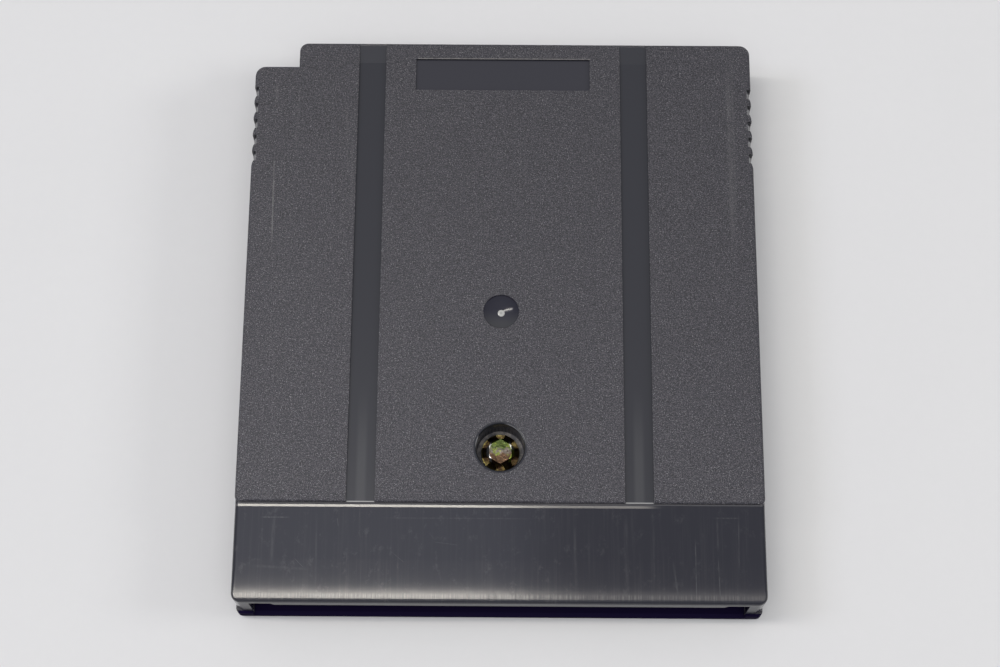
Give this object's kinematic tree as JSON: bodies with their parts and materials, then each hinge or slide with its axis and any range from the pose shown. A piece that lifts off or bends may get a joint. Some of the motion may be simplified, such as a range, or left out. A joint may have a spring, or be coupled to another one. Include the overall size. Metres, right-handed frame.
{
  "type": "game cartridge",
  "caption": "Flat game cartridge for a handheld console: two plastic shells held by a screw around a circuit board with chips, open at the mouth where the console's connector goes in.",
  "frame": {"origin": "middle of the label face, on the surface the cartridge lies on", "axes": "+Z out of the back face, +Y from the mouth to the top edge, +X to the right seen from the back with the mouth down"},
  "size_m": [0.057, 0.0654, 0.0078],
  "materials": {
    "back_plastic": "fine spark-eroded grain, with a smooth band, grooves and plate",
    "front_plastic": "fine spark-eroded grain",
    "screw_plating": "yellow-green passivated zinc plating",
    "board_laminate": "green solder mask",
    "contact_gold": "gold plated",
    "chip_resin": "moulded epoxy",
    "tin_metal": "tin plated",
    "cell_steel": "bright nickel plated steel",
    "gasket_nylon": "natural nylon",
    "capacitor_ceramic": "fired ceramic",
    "resistor_body": "glazed black"
  },
  "bodies": {
    "root": {"back_shell": "back_plastic", "front_shell": "front_plastic", "security_screw": "screw_plating", "circuit_board": "board_laminate", "edge_contacts": "contact_gold", "rom_chip": "chip_resin", "rom_leads": "tin_metal", "mapper_chip": "chip_resin", "mapper_leads": "tin_metal", "ram_chip": "chip_resin", "ram_leads": "tin_metal", "supervisor_chip": "chip_resin", "supervisor_leads": "tin_metal", "cell_can": "cell_steel", "cell_gasket": "gasket_nylon", "cell_cap": "cell_steel", "cell_tab_plus": "tin_metal", "cell_tab_minus": "tin_metal", "capacitor_1": "capacitor_ceramic", "capacitor_2": "capacitor_ceramic", "capacitor_3": "capacitor_ceramic", "capacitor_4": "capacitor_ceramic", "resistor_1": "resistor_body", "resistor_2": "resistor_body", "resistor_3": "resistor_body", "chip_terminals": "tin_metal"}
  },
  "joints": []
}
